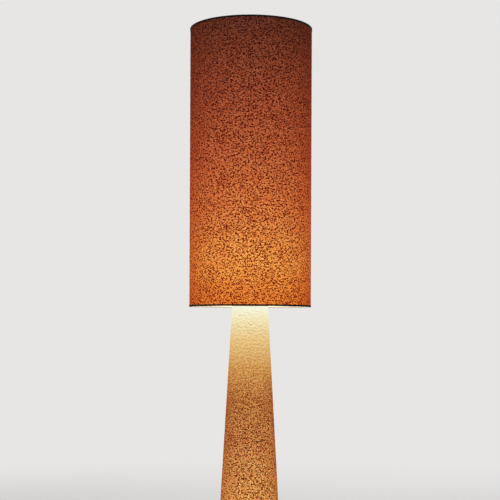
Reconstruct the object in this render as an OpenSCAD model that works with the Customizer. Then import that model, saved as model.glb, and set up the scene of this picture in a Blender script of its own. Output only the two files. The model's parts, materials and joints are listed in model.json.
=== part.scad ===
// Column floor lamp: a tall drum shade over a tapered column, both of boucle fabric on a white liner,
// with one lampholder in the shade and a second one inside the column.
// Millimetres, +Z up, origin on the floor under the lamp's axis, the back of the lamp towards +Y.

/* [Shade] */
// Outer diameter of the shade's fabric
shade_d = 350; // [300:5:420]
// Height of the shade over its edge bindings
shade_h = 800; // [500:10:1000]
// Height of the shade's lower edge above the floor
shade_bottom_z = 800; // [600:10:1000]
// Number of arms that carry the shade
arm_count = 3; // [3:1:4]
// Wire thickness of the arms
arm_d = 3.5; // [3:0.25:5]
// Outer diameter of the fitting washer where the arms meet
fitting_d = 64; // [62:1:76]
// Thickness of the fitting washer
fitting_t = 2; // [1.5:0.5:3]
// Angle at which the shade's fabric overlaps
shade_seam_angle = 90; // [60:1:120]

/* [Column] */
// Outer diameter of the column's fabric at its foot
column_bottom_d = 194; // [180:1:230]
// Outer diameter of the column's fabric at its head
column_top_d = 101; // [84:1:110]
// How far the column's head stands up inside the shade
column_reach = 20; // [10:1:40]
// Angle at which the column's fabric overlaps
column_seam_angle = 70; // [55:1:76]
// Thickness of the sheet metal lid on the column
lid_t = 1.5; // [1:0.25:3]
// Depth of the lid's centring lip
lid_lip_h = 6; // [4:0.5:12]

/* [Fabric and edges] */
// Thickness of the boucle fabric
fabric_t = 2; // [1:0.25:3]
// Thickness of the white liner behind the fabric
liner_t = 0.8; // [0.5:0.1:1.5]
// Adhesive line between fabric and liner
bond_gap = 0.1; // [0.05:0.05:0.2]
// Width of the glued overlap where the fabric's ends meet
seam_w = 14; // [8:1:20]
// How far the overlapped fabric stands out
seam_rise = 0.8; // [0.4:0.1:1.4]
// Wire thickness of the hoops that stiffen the edges
hoop_d = 4; // [3:0.5:5]
// Thickness of the black edge binding
binding_t = 0.7; // [0.4:0.1:1.2]
// Height of the binding on the outside
binding_h = 5; // [3:0.5:8]

/* [Base] */
// Thickness of the felt ring under the base
pad_t = 3; // [2:0.5:5]
// Inner diameter of the felt ring
pad_inner_d = 120; // [80:5:140]
// Thickness of the flange that the column stands on
flange_t = 3; // [2:0.5:5]
// Thickness of the steel weight inside the column's foot
weight_t = 12; // [10:1:20]
// Outer diameter of the pole
pole_d = 22; // [20:1:26]
// Wall of the pole
pole_wall = 1.5; // [1:0.25:2.5]
// Length of the threaded socket in the pole's foot
socket_h = 20; // [14:1:22]
// Length of the threaded plug in the pole's head
plug_h = 18; // [14:1:30]
// Width across the flats of the bolt under the base
bolt_flats = 17; // [15:1:19]
// Height of the bolt's head
bolt_head_h = 6.4; // [5:0.2:7]
// Thickness of the washer under the bolt's head
washer_t = 1.5; // [1:0.25:2]

/* [Lampholders] */
// Outer diameter of the hollow threaded nipples and of the bolt
nipple_d = 10; // [9:0.5:11]
// Bore of the nipples, for the lead
nipple_bore_d = 7; // [6:0.25:7.5]
// Thickness of the lock nuts
nut_t = 3; // [2.5:0.5:4]
// Width across the flats of the lock nuts
nut_flats = 14; // [13:0.5:16]
// Height of a lampholder
holder_h = 60; // [58:1:66]
// Wall of a lampholder's cap and skirt
holder_wall = 2; // [1.6:0.2:2.4]
// Diameter of a lampholder's collar
collar_d = 43; // [42:0.5:46]
// Diameter of the threaded skirt
skirt_d = 39.4; // [38.8:0.2:40]
// Outer diameter of the shade ring
ring_nut_d = 54; // [50:1:58]
// Height of the shade ring
ring_nut_h = 10; // [8:1:12]
// Number of grip flutes round the shade ring
ring_flutes = 24; // [16:1:30]

/* [Bulbs] */
// Globe diameter of the upper bulb
upper_globe_d = 60; // [50:1:64]
// Length of the upper bulb
upper_bulb_l = 105; // [100:1:120]
// Radius of the hollow curve between the upper bulb's neck and its flank
upper_neck_curve = 18; // [6:1:20]
// Globe diameter of the lower bulb
lower_globe_d = 45; // [44:1:48]
// Length of the lower bulb
lower_bulb_l = 75; // [74:1:90]
// Radius of the hollow curve between the lower bulb's neck and its flank
lower_neck_curve = 8; // [3:0.5:9]
// Thread diameter of the bulb caps
cap_d = 26.2; // [26:0.1:26.4]
// Thread pitch of the bulb caps
cap_pitch = 3.6; // [3.4:0.1:3.8]
// Wall of the opal globes
globe_wall = 1; // [0.8:0.1:1.5]

/* [Wiring] */
// Diameter of the inner leads
lead_d = 5; // [4:0.25:5.5]
// Height of the cord outlet's centre above the floor
outlet_z = 34; // [32:1:60]
// Bore of the cord outlet
outlet_bore_d = 6.8; // [6:0.1:8]
// Flange diameter of the cord outlet's bush
outlet_flange_d = 13; // [12:0.5:16]
// Distance of the lower lampholder from the pole's axis
lower_offset = 46; // [45:1:50]
// Height of the bridge that carries the lower lampholder
bridge_h = 28; // [26:1:34]

/* [Hidden] */
$fn = 96;

// Clearances
fit_gap = 0.1;      // between pieces that are pressed or glued together
slip_gap = 0.3;     // between pieces that are dropped over one another
thread_gap = 0.3;   // radial, between a threaded piece and its nut
cut_over = 1;       // how far a cut runs past the face that it opens

// Heights from the floor up
flange_z = pad_t;
stand_z = flange_z + flange_t;             // the column's cover stands here
weight_top_z = stand_z + weight_t;
column_top_z = shade_bottom_z + column_reach;
lid_top_z = column_top_z + lid_t;
upper_z = lid_top_z + nut_t;               // foot of the upper lampholder
bridge_top_z = weight_top_z + bridge_h;
lower_z = bridge_top_z + nut_t;            // foot of the lower lampholder
shade_top_z = shade_bottom_z + shade_h;

// Shade, from the outside in
shade_r = shade_d / 2;
wall_t = fabric_t + bond_gap + liner_t;
shade_liner_r = shade_r - fabric_t - bond_gap;
shade_inner_r = shade_r - wall_t;
hoop_r = hoop_d / 2;
shade_hoop_r = shade_inner_r - fit_gap - hoop_r;

// Column cover: its outer radius at a height, and the slope of its side
column_slope = (column_bottom_d - column_top_d) / 2 / (column_top_z - stand_z);
function column_r(z) = column_bottom_d / 2 - (z - stand_z) * column_slope;
cover_low_z = stand_z + binding_t;
cover_high_z = column_top_z - binding_t;
low_hoop_z = cover_low_z + fit_gap + hoop_r;
high_hoop_z = cover_high_z - fit_gap - hoop_r;
hoop_inset = wall_t + fit_gap + hoop_r * sqrt(1 + column_slope * column_slope);
low_hoop_r = column_r(low_hoop_z) - hoop_inset;
high_hoop_r = column_r(high_hoop_z) - hoop_inset;

// Base
flange_r = column_r(stand_z) + fit_gap + binding_t;
weight_r = low_hoop_r - hoop_r - slip_gap;
pad_inset = 3;
pole_bore_r = pole_d / 2 - pole_wall;
bolt_seat_z = flange_z + bolt_head_h + washer_t + fit_gap;  // top of the counterbore
counterbore_r = bolt_flats / 2 / cos(30) + 2 * cut_over;
shank_r = nipple_d / 2;
bolt_reach = socket_h - 4;

// Lampholder, measured up from its foot
neck_h = 9;
neck_r = 8;
collar_r = collar_d / 2;
dome_h = 8;
cap_h = neck_h + dome_h + 7;                 // the cap meets the skirt here
skirt_r = skirt_d / 2;
shell_r = cap_d / 2 + thread_gap;            // inside of the brass shell
shell_wall = 0.5;
insert_h = 8;
insert_tuck = 2;                             // how far the insert reaches down into the cap
insert_top = cap_h - insert_tuck + insert_h;
seat_h = insert_top + fit_gap + holder_wall; // the shoulder that the shade's fitting sits on
contact_t = 0.6;
contact_rise = 3.2;
bulb_seat = insert_top + contact_rise + fit_gap;  // the bulb's tip rests here
thread_pitch = 2.5;
thread_depth = 0.5;

// Bulb, measured up from its tip
tip_h = 1.6;
tip_r = 4.6;
insulator_h = 4.6;
cap_low = tip_h + insulator_h;
cap_turns = 4;
cap_high = cap_low + 1.2 + cap_turns * cap_pitch + 5;
cap_wall = 0.4;
cap_r = cap_d / 2;
thread_roll = 0.45;                          // half the height of the cap's rolled thread
globe_neck_r = cap_r - 2 * thread_roll - cap_wall - fit_gap;
globe_tuck = 4;                              // how far the globe's neck sits in the cap

// Shade fitting
fitting_z = upper_z + seat_h;
ring_nut_z = fitting_z + fitting_t;
ring_nut_r = ring_nut_d / 2;
fitting_bore_r = skirt_r + 0.8;
arm_bite = 1.5;                              // how far an arm's end is melted into the washer's edge

// Lower lamp, on its bridge in front of the pole
lower_at = [0, -lower_offset];
bridge_t = 2;
bridge_w = 20;
bridge_span = 48;
bridge_foot = 12;
screw_d = 4;
screw_head_d = 8;
screw_head_h = 2.4;

// Terminal block behind the pole
block_at = [0, 56];
block_size = [26, 18, 14];
block_wire_z = 7;
block_wire_r = lead_d / 2 + slip_gap;
block_pitch = 13;
block_screw_r = 2;

// Cord outlet at the back of the cover
outlet_r = outlet_bore_d / 2;
outlet_sleeve_r = outlet_r + 1.2;
outlet_hole_r = outlet_sleeve_r + fit_gap;
outlet_flange_r = outlet_flange_d / 2;
outlet_flange_t = 2;
outlet_out_y = column_r(outlet_z - outlet_flange_r) + fit_gap;
outlet_in_y = sqrt(pow(column_r(outlet_z + outlet_flange_r) - wall_t, 2) - pow(outlet_flange_r, 2)) - fit_gap;

// Leads: each route's points, from the terminal block to the lampholder
slot_z = weight_top_z + socket_h + 6;        // lower end of the slot in the pole
lead_end = neck_h + 3;                       // where a lead ends inside its lampholder
block_front_y = block_at[1] - block_size[1] / 2;
wire_z = weight_top_z + block_wire_z;
upper_route = [
    [-6.5, block_front_y, wire_z],
    [-6.5, block_front_y - 8, wire_z],
    [-5.5, 30, wire_z + 4],
    [-3.5, 22, slot_z - 2],
    [-1.5, 15, slot_z + 4],
    [-0.5, 8, slot_z + 8],
    [0, 3, slot_z + 15],
    [0, 0.6, slot_z + 24],
    [0, 0, slot_z + 36],
    [0, 0, column_top_z - plug_h],
    [0, 0, upper_z + lead_end]
];
lower_route = [
    [6.5, block_front_y, wire_z],
    [6.5, block_front_y - 8, wire_z],
    [10, 30, wire_z - 1],
    [16, 20, wire_z - 2],
    [20, 6, wire_z - 3],
    [19, -8, wire_z - 3],
    [14, -22, wire_z - 3],
    [8, 10 - lower_offset, wire_z - 1],
    [3, 4 - lower_offset, wire_z + 4],
    [0.5, 0.5 - lower_offset, wire_z + 10],
    [0, -lower_offset, wire_z + 17],
    [0, -lower_offset, lower_z + lead_end]
];

// ---- shared shapes ----

// A ring of rectangular section
module band(r_in, r_out, z_low, z_high) {
    translate([0, 0, z_low])
        difference() {
            cylinder(r = r_out, h = z_high - z_low);
            translate([0, 0, -cut_over])
                cylinder(r = r_in, h = z_high - z_low + 2 * cut_over);
        }
}

// A hoop of round wire
module hoop(r, z, wire_r) {
    translate([0, 0, z])
        rotate_extrude()
            translate([r, 0])
                circle(r = wire_r);
}

// A rod between two points
module rod(a, b, d) {
    v = b - a;
    translate(a)
        rotate([0, acos(v[2] / norm(v)), atan2(v[1], v[0])])
            cylinder(d = d, h = norm(v));
}

// A wall of fabric or liner that follows the side of the column, r_off inside its outer face
module column_skin(r_off, t) {
    rotate_extrude()
        polygon([
            [column_r(cover_low_z) - r_off - t, cover_low_z],
            [column_r(cover_low_z) - r_off, cover_low_z],
            [column_r(cover_high_z) - r_off, cover_high_z],
            [column_r(cover_high_z) - r_off - t, cover_high_z]
        ]);
}

// The hole through the column's cover for the cord outlet
module outlet_hole() {
    translate([0, column_r(outlet_z) / 2, outlet_z])
        rotate([-90, 0, 0])
            cylinder(r = outlet_hole_r, h = column_bottom_d);
}

// A hexagonal nut on a vertical axis
module hex_nut(flats, h, bore_r) {
    difference() {
        cylinder(r = flats / 2 / cos(30), h = h, $fn = 6);
        translate([0, 0, -cut_over])
            cylinder(r = bore_r, h = h + 2 * cut_over);
    }
}

// Unit vector, and the ring of points round a route's point
function unit(v) = v / norm(v);
function route_dir(p, i) = unit(p[min(i + 1, len(p) - 1)] - p[max(i - 1, 0)]);
function ring_at(p, i, r, sides, ref) =
    let (t = route_dir(p, i), u = unit(cross(ref, t)), w = cross(t, u))
    [for (k = [0 : sides - 1]) p[i] + r * (cos(360 * k / sides) * u + sin(360 * k / sides) * w)];

// A lead swept along its route
module lead(route, ref) {
    sides = 10;
    rings = len(route);
    points = [for (i = [0 : rings - 1]) each ring_at(route, i, lead_d / 2, sides, ref)];
    side_faces = [
        for (i = [0 : rings - 2], k = [0 : sides - 1])
            let (a = i * sides + k, b = i * sides + (k + 1) % sides)
            each [[a, a + sides, b], [b, a + sides, b + sides]]
    ];
    foot = [for (k = [0 : sides - 1]) k];
    head = [for (k = [sides - 1 : -1 : 0]) (rings - 1) * sides + k];
    polyhedron(points = points, faces = concat([foot], side_faces, [head]), convexity = 4);
}

// ---- base ----

module foot_pad() {
    color("dimgray")
        band(pad_inner_d / 2, flange_r - pad_inset, 0, pad_t);
}

module base_plate() {
    color([0.12, 0.12, 0.12])
        difference() {
            union() {
                translate([0, 0, flange_z])
                    cylinder(r = flange_r, h = flange_t);
                translate([0, 0, flange_z])
                    cylinder(r = weight_r, h = flange_t + weight_t);
            }
            translate([0, 0, flange_z - cut_over])
                cylinder(r = shank_r + thread_gap, h = flange_t + weight_t + 2 * cut_over);
            translate([0, 0, flange_z - cut_over])
                cylinder(r = counterbore_r, h = bolt_seat_z - flange_z + cut_over);
            for (side = [-1, 1])
                translate([side * (bridge_span + bridge_foot) / 2, -lower_offset, weight_top_z - weight_t / 2])
                    cylinder(d = screw_d + 2 * fit_gap, h = weight_t);
        }
}

module base_washer() {
    color("silver")
        band(shank_r + thread_gap, counterbore_r - 1.5, bolt_seat_z - washer_t, bolt_seat_z);
}

module base_bolt() {
    color("silver") {
        translate([0, 0, bolt_seat_z - washer_t - bolt_head_h])
            cylinder(r = bolt_flats / 2 / cos(30), h = bolt_head_h, $fn = 6);
        translate([0, 0, bolt_seat_z - washer_t - 0.01])
            cylinder(r = shank_r, h = weight_top_z + bolt_reach - bolt_seat_z + washer_t);
    }
}

module pole_socket() {
    color("gray")
        band(shank_r + fit_gap, pole_bore_r - fit_gap, weight_top_z, weight_top_z + socket_h);
}

module pole() {
    slot_w = lead_d + 4;
    slot_h = 18;
    color("lightgray")
        difference() {
            band(pole_bore_r, pole_d / 2, weight_top_z, column_top_z);
            translate([0, 0, slot_z])
                rotate([-90, 0, 0]) {
                    cylinder(d = slot_w, h = pole_d);
                    translate([0, -slot_h, 0])
                        cylinder(d = slot_w, h = pole_d);
                    translate([-slot_w / 2, -slot_h, 0])
                        cube([slot_w, slot_h, pole_d]);
                }
        }
}

module pole_plug() {
    color("gray")
        band(shank_r + fit_gap, pole_bore_r - fit_gap, column_top_z - plug_h, column_top_z);
}

// ---- column cover ----

module column_liner() {
    color("white")
        difference() {
            column_skin(fabric_t + bond_gap, liner_t);
            outlet_hole();
        }
}

// The fabric, with its ends lapped over each other at the back
module column_fabric() {
    lap_angle = seam_w / column_r(cover_low_z) * 180 / PI;
    lap_low_z = cover_low_z + binding_h + fit_gap;
    lap_high_z = cover_high_z - binding_h - fit_gap;
    color([0.82, 0.56, 0.30])
        difference() {
            union() {
                column_skin(0, fabric_t);
                rotate([0, 0, column_seam_angle - lap_angle / 2])
                    rotate_extrude(angle = lap_angle)
                        polygon([
                            [column_r(lap_low_z) - fabric_t / 2, lap_low_z],
                            [column_r(lap_low_z) + seam_rise, lap_low_z],
                            [column_r(lap_high_z) + seam_rise, lap_high_z],
                            [column_r(lap_high_z) - fabric_t / 2, lap_high_z]
                        ]);
            }
            outlet_hole();
        }
}

module column_bottom_hoop() {
    color("gray")
        hoop(low_hoop_r, low_hoop_z, hoop_r);
}

module column_top_hoop() {
    color("gray")
        hoop(high_hoop_r, high_hoop_z, hoop_r);
}

module column_bottom_binding() {
    color([0.06, 0.06, 0.06])
        rotate_extrude()
            polygon([
                [low_hoop_r - hoop_r, stand_z],
                [column_r(stand_z) + fit_gap + binding_t, stand_z],
                [column_r(stand_z + binding_h) + fit_gap + binding_t, stand_z + binding_h],
                [column_r(stand_z + binding_h) + fit_gap, stand_z + binding_h],
                [column_r(cover_low_z) + fit_gap, cover_low_z],
                [low_hoop_r - hoop_r, cover_low_z]
            ]);
}

module column_top_binding() {
    color([0.06, 0.06, 0.06])
        rotate_extrude()
            polygon([
                [high_hoop_r - hoop_r, column_top_z],
                [column_r(column_top_z) + fit_gap + binding_t, column_top_z],
                [column_r(column_top_z - binding_h) + fit_gap + binding_t, column_top_z - binding_h],
                [column_r(column_top_z - binding_h) + fit_gap, column_top_z - binding_h],
                [column_r(cover_high_z) + fit_gap, cover_high_z],
                [high_hoop_r - hoop_r, cover_high_z]
            ]);
}

// The lid rests on the column's head and on the pole, and its lip keeps the cover centred
module column_lid() {
    lip_r = high_hoop_r - hoop_r - slip_gap;
    color("whitesmoke") {
        difference() {
            union() {
                translate([0, 0, column_top_z])
                    cylinder(r = column_r(column_top_z), h = lid_t);
                translate([0, 0, column_top_z - lid_lip_h])
                    cylinder(r = lip_r, h = lid_lip_h + lid_t / 2);
            }
            translate([0, 0, column_top_z - lid_lip_h - cut_over])
                cylinder(r = lip_r - lid_t, h = lid_lip_h + cut_over);
            cylinder(r = shank_r + thread_gap, h = lid_top_z + cut_over);
        }
    }
}

module cord_bush() {
    color([0.08, 0.08, 0.08])
        rotate([-90, 0, 0])
            translate([0, -outlet_z, 0])
                difference() {
                    union() {
                        translate([0, 0, outlet_in_y - outlet_flange_t])
                            cylinder(r = outlet_flange_r, h = outlet_flange_t);
                        translate([0, 0, outlet_in_y - outlet_flange_t])
                            cylinder(r = outlet_sleeve_r, h = outlet_out_y - outlet_in_y + 2 * outlet_flange_t);
                        translate([0, 0, outlet_out_y])
                            cylinder(r = outlet_flange_r, h = outlet_flange_t);
                    }
                    translate([0, 0, outlet_in_y - outlet_flange_t - cut_over])
                        cylinder(r = outlet_r, h = outlet_out_y - outlet_in_y + 2 * outlet_flange_t + 2 * cut_over);
                }
}

// ---- wiring inside the column ----

module terminal_block() {
    color("ivory")
        translate([block_at[0] - block_size[0] / 2, block_front_y, weight_top_z])
            difference() {
                cube(block_size);
                for (side = [-1, 1]) {
                    translate([block_size[0] / 2 + side * block_pitch / 2, -cut_over, block_wire_z])
                        rotate([-90, 0, 0])
                            cylinder(r = block_wire_r, h = block_size[1] + 2 * cut_over);
                    for (row = [0.28, 0.72])
                        translate([block_size[0] / 2 + side * block_pitch / 2, row * block_size[1], block_wire_z])
                            cylinder(r = block_screw_r + 2 * fit_gap, h = block_size[2]);
                }
            }
}

module terminal_screws() {
    screw_low = weight_top_z + block_wire_z + block_wire_r;
    color("silver")
        for (side = [-1, 1], row = [0.28, 0.72])
            translate([block_at[0] + side * block_pitch / 2, block_front_y + row * block_size[1], screw_low])
                difference() {
                    cylinder(r = block_screw_r, h = 3);
                    translate([-block_screw_r - cut_over, -0.3, 2.2])
                        cube([2 * (block_screw_r + cut_over), 0.6, 2]);
                }
}

module upper_lead() {
    color([0.15, 0.15, 0.15])
        lead(upper_route, [1, 0, 0]);
}

module lower_lead() {
    color([0.15, 0.15, 0.15])
        lead(lower_route, [1, 1, 1]);
}

// The folded strip that lifts the lower lampholder clear of the weight
module lamp_bridge() {
    color("lightgray")
        translate([0, -lower_offset, weight_top_z])
            difference() {
                translate([0, bridge_w / 2, 0])
                    rotate([90, 0, 0])
                        linear_extrude(bridge_w)
                            polygon([
                                [-bridge_span / 2 - bridge_foot, 0], [-bridge_span / 2 + bridge_t, 0],
                                [-bridge_span / 2 + bridge_t, bridge_h - bridge_t],
                                [bridge_span / 2 - bridge_t, bridge_h - bridge_t],
                                [bridge_span / 2 - bridge_t, 0], [bridge_span / 2 + bridge_foot, 0],
                                [bridge_span / 2 + bridge_foot, bridge_t], [bridge_span / 2, bridge_t],
                                [bridge_span / 2, bridge_h], [-bridge_span / 2, bridge_h],
                                [-bridge_span / 2, bridge_t], [-bridge_span / 2 - bridge_foot, bridge_t]
                            ]);
                translate([0, 0, bridge_h / 2])
                    cylinder(r = shank_r + fit_gap, h = bridge_h);
                for (side = [-1, 1])
                    translate([side * (bridge_span + bridge_foot) / 2, 0, -cut_over])
                        cylinder(d = screw_d + 2 * fit_gap, h = bridge_t + 2 * cut_over);
            }
}

module bridge_screws() {
    color("silver")
        for (side = [-1, 1])
            translate([side * (bridge_span + bridge_foot) / 2, -lower_offset, weight_top_z + bridge_t])
                difference() {
                    union() {
                        cylinder(d = screw_head_d, h = screw_head_h);
                        translate([0, 0, -bridge_t - weight_t / 2 + cut_over])
                            cylinder(d = screw_d, h = bridge_t + weight_t / 2);
                    }
                    translate([-screw_head_d, -0.5, screw_head_h - 1])
                        cube([2 * screw_head_d, 1, 2]);
                }
}

// ---- lampholder pieces, drawn from the lampholder's foot upwards ----

module nipple(low, high) {
    color("gold")
        band(nipple_bore_d / 2, shank_r, low, high);
}

// The domed cap, hollow for the wiring
module holder_cap() {
    dome_steps = 6;
    outside = [for (i = [0 : dome_steps]) [
        neck_r + (collar_r - neck_r) * sin(90 * i / dome_steps),
        neck_h + dome_h * (1 - cos(90 * i / dome_steps))
    ]];
    inside = [for (i = [dome_steps : -1 : 0]) [
        neck_r + (collar_r - holder_wall - neck_r) * sin(90 * i / dome_steps),
        neck_h + holder_wall + (dome_h - holder_wall) * (1 - cos(90 * i / dome_steps))
    ]];
    bore_r = shank_r + thread_gap;
    color([0.93, 0.91, 0.86])
        rotate_extrude()
            polygon(concat(
                [[bore_r, 0], [neck_r, 0]], outside, [[collar_r, cap_h]],
                [[collar_r - holder_wall, cap_h]], inside, [[bore_r, neck_h + holder_wall]]
            ));
}

// The ceramic insert that carries the contacts
module holder_insert() {
    insert_r = collar_r - holder_wall - slip_gap;
    color("white")
        difference() {
            translate([0, 0, cap_h - insert_tuck])
                cylinder(r = insert_r, h = insert_h);
            for (side = [-1, 1])
                translate([side * insert_r * 0.6, 0, cap_h - insert_tuck - cut_over])
                    cylinder(r = 2.4, h = insert_h / 2);
        }
}

// The brass shell that the bulb screws into, with the flange that is riveted to the insert
module holder_shell() {
    color("goldenrod") {
        band(shell_r, shell_r + shell_wall, insert_top, holder_h - cut_over);
        band(tip_r + 3, shell_r + shell_wall / 2, insert_top, insert_top + shell_wall);
    }
}

// The brass tongue that meets the bulb's tip
module holder_contact() {
    color("goldenrod")
        translate([0, 2, insert_top])
            rotate([90, 0, 0])
                linear_extrude(4)
                    polygon([
                        [-5, 0], [4, 0], [4, contact_t], [-3, contact_t],
                        [4, contact_rise - contact_t], [4, contact_rise], [2, contact_rise], [-5, contact_t]
                    ]);
}

// The skirt: a collar, the shoulder for the shade's fitting, and a threaded tube
// whose lip centres the brass shell
module holder_skirt() {
    socket_r = collar_r - holder_wall;
    tube_r = skirt_r - thread_depth - holder_wall;
    lip_r = shell_r + shell_wall + fit_gap;
    turns = floor((holder_h - seat_h - 3) / thread_pitch);
    thread = [for (i = [0 : turns - 1], side = [0, 1]) [
        skirt_r - side * thread_depth,
        seat_h + 1.5 + (i + side / 2) * thread_pitch
    ]];
    color([0.93, 0.91, 0.86])
        rotate_extrude()
            polygon(concat(
                [[socket_r, cap_h], [collar_r, cap_h], [collar_r, seat_h], [skirt_r, seat_h]],
                thread,
                [[skirt_r - thread_depth, holder_h], [lip_r, holder_h],
                 [lip_r, holder_h - holder_wall], [tube_r, holder_h - 2 * holder_wall],
                 [tube_r, insert_top + fit_gap], [socket_r, insert_top + fit_gap]]
            ));
}

// The ring that screws down on the shade's fitting
module shade_ring() {
    color([0.93, 0.91, 0.86])
        translate([0, 0, ring_nut_z])
            difference() {
                cylinder(r = ring_nut_r, h = ring_nut_h);
                translate([0, 0, -cut_over])
                    cylinder(r = skirt_r + thread_gap, h = ring_nut_h + 2 * cut_over);
                for (i = [0 : ring_flutes - 1])
                    rotate([0, 0, 360 * i / ring_flutes])
                        translate([ring_nut_r + 0.8, 0, -cut_over])
                            cylinder(r = 2, h = ring_nut_h + 2 * cut_over, $fn = 24);
            }
}

// ---- bulb pieces, drawn from the bulb's tip upwards ----

module bulb_contact() {
    color("silver")
        rotate_extrude()
            polygon([[0, 0], [tip_r * 0.6, 0.2], [tip_r, 0.9], [tip_r, tip_h], [0, tip_h]]);
}

module bulb_insulator() {
    color([0.1, 0.1, 0.15])
        rotate_extrude()
            polygon([
                [0, tip_h], [tip_r + 1.5, tip_h],
                [cap_r - 2 * thread_roll - 0.6, cap_low], [0, cap_low]
            ]);
}

// The screw cap, with its rolled thread drawn as rings
module bulb_cap() {
    steps = 8;
    wave = [for (i = [0 : cap_turns * steps]) [
        cap_r - thread_roll * (1 + cos(360 * i / steps)),
        cap_low + 1.2 + i * cap_pitch / steps
    ]];
    inner = [for (i = [len(wave) - 1 : -1 : 0]) [wave[i][0] - cap_wall, wave[i][1]]];
    collar_at = cap_r - 2 * thread_roll;
    color("lightgray")
        rotate_extrude()
            polygon(concat(
                [[cap_r - 2 * thread_roll - 2.2, cap_low], [collar_at - 0.6, cap_low]],
                wave, [[collar_at, cap_high], [collar_at - cap_wall, cap_high]], inner,
                [[collar_at - 1.2, cap_low + 1], [cap_r - 2 * thread_roll - 2.2, cap_low + 0.8]]
            ));
}

// Outline of a globe: a straight neck, a hollow curve, a flank that touches the curve and the ball,
// and the ball itself
function globe_outline(r, ball_z, neck, curve_r) =
    let (
        rise = ball_z - cap_high,
        away = norm([neck + curve_r, rise]),
        lean = atan2(rise, neck + curve_r) - acos((r + curve_r) / away),
        curve_steps = 6,
        ball_steps = 18
    )
    concat(
        [[neck, cap_high - globe_tuck]],
        [for (i = [0 : curve_steps]) let (a = 180 - lean * i / curve_steps)
            [neck + curve_r + curve_r * cos(a), cap_high + curve_r * sin(a)]],
        [for (i = [0 : ball_steps]) let (a = -lean + (90 + lean) * i / ball_steps)
            [r * cos(a), ball_z + r * sin(a)]]
    );

// The hollow curve is never larger than leaves a flank between it and the ball
module bulb_globe(d, l, neck_curve) {
    r = d / 2;
    ball_z = l - r;
    most = (pow(globe_neck_r, 2) + pow(ball_z - cap_high, 2) - r * r) / 2 / (r - globe_neck_r);
    curve_r = min(neck_curve, 0.9 * most);
    outside = globe_outline(r, ball_z, globe_neck_r, curve_r);
    inside = globe_outline(r - globe_wall, ball_z, globe_neck_r - globe_wall, curve_r + globe_wall);
    color([1, 0.97, 0.88])
        rotate_extrude()
            polygon(concat(outside, [for (i = [len(inside) - 1 : -1 : 0]) inside[i]]));
}

// ---- lower lamp ----

module at_lower_holder() {
    translate([lower_at[0], lower_at[1], lower_z])
        children();
}

module at_lower_bulb() {
    at_lower_holder()
        translate([0, 0, bulb_seat])
            children();
}

module lower_bulb_globe() {
    at_lower_bulb()
        bulb_globe(lower_globe_d, lower_bulb_l, lower_neck_curve);
}

module lower_nipple() {
    at_lower_holder()
        nipple(bridge_top_z - bridge_t - nut_t - 2 - lower_z, neck_h - 1);
}

module lower_lock_nuts() {
    color("silver")
        at_lower_holder()
            for (z = [-nut_t, -2 * nut_t - bridge_t])
                translate([0, 0, z])
                    hex_nut(nut_flats, nut_t, shank_r + fit_gap);
}

// ---- upper lamp ----

module at_upper_holder() {
    translate([0, 0, upper_z])
        children();
}

module at_upper_bulb() {
    at_upper_holder()
        translate([0, 0, bulb_seat])
            children();
}

module upper_bulb_globe() {
    at_upper_bulb()
        bulb_globe(upper_globe_d, upper_bulb_l, upper_neck_curve);
}

module upper_nipple() {
    at_upper_holder()
        nipple(column_top_z - plug_h + 2 - upper_z, neck_h - 1);
}

module upper_lock_nut() {
    color("silver")
        translate([0, 0, lid_top_z])
            hex_nut(nut_flats, nut_t, shank_r + fit_gap);
}

// ---- shade ----

// The lower hoop, its arms and the fitting washer, welded together
module shade_carrier() {
    low_z = shade_bottom_z + hoop_r;
    arm_lift = max(0, arm_d / 2 - hoop_r);
    weld_z = ring_nut_z - arm_d / 2 - fit_gap;   // the arms' ends stay under the shade ring
    color("whitesmoke") {
        hoop(shade_hoop_r, low_z, hoop_r);
        band(fitting_bore_r, fitting_d / 2, fitting_z, fitting_z + fitting_t);
        for (i = [0 : arm_count - 1])
            rotate([0, 0, 90 + 360 * i / arm_count])
                rod([shade_hoop_r - arm_lift, 0, low_z + arm_lift], [fitting_d / 2 - arm_bite, 0, weld_z], arm_d);
    }
}

module shade_top_hoop() {
    color("gray")
        hoop(shade_hoop_r, shade_top_z - hoop_r, hoop_r);
}

module shade_liner() {
    color("white")
        band(shade_inner_r, shade_liner_r, shade_bottom_z + binding_t, shade_top_z - binding_t);
}

// The fabric, with its ends lapped over each other at the back
module shade_fabric() {
    lap_angle = seam_w / shade_r * 180 / PI;
    lap_low_z = shade_bottom_z + binding_h + fit_gap;
    lap_h = shade_h - 2 * (binding_h + fit_gap);
    color([0.80, 0.42, 0.18]) {
        band(shade_r - fabric_t, shade_r, shade_bottom_z + binding_t, shade_top_z - binding_t);
        rotate([0, 0, shade_seam_angle - lap_angle / 2])
            rotate_extrude(angle = lap_angle)
                translate([shade_r - fabric_t / 2, lap_low_z])
                    square([fabric_t / 2 + seam_rise, lap_h]);
    }
}

// An L-shaped binding, opening upwards, that closes the edges of fabric and liner. The hoop stays bare
// beside it, flush with the shade's edge.
module shade_binding() {
    rotate_extrude()
        polygon([
            [shade_inner_r, 0],
            [shade_r + fit_gap + binding_t, 0],
            [shade_r + fit_gap + binding_t, binding_h],
            [shade_r + fit_gap, binding_h],
            [shade_r + fit_gap, binding_t],
            [shade_inner_r, binding_t]
        ]);
}

module shade_bottom_binding() {
    color([0.06, 0.06, 0.06])
        translate([0, 0, shade_bottom_z])
            shade_binding();
}

module shade_top_binding() {
    color([0.06, 0.06, 0.06])
        translate([0, 0, shade_top_z])
            mirror([0, 0, 1])
                shade_binding();
}

// ---- the nodes ----

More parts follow.
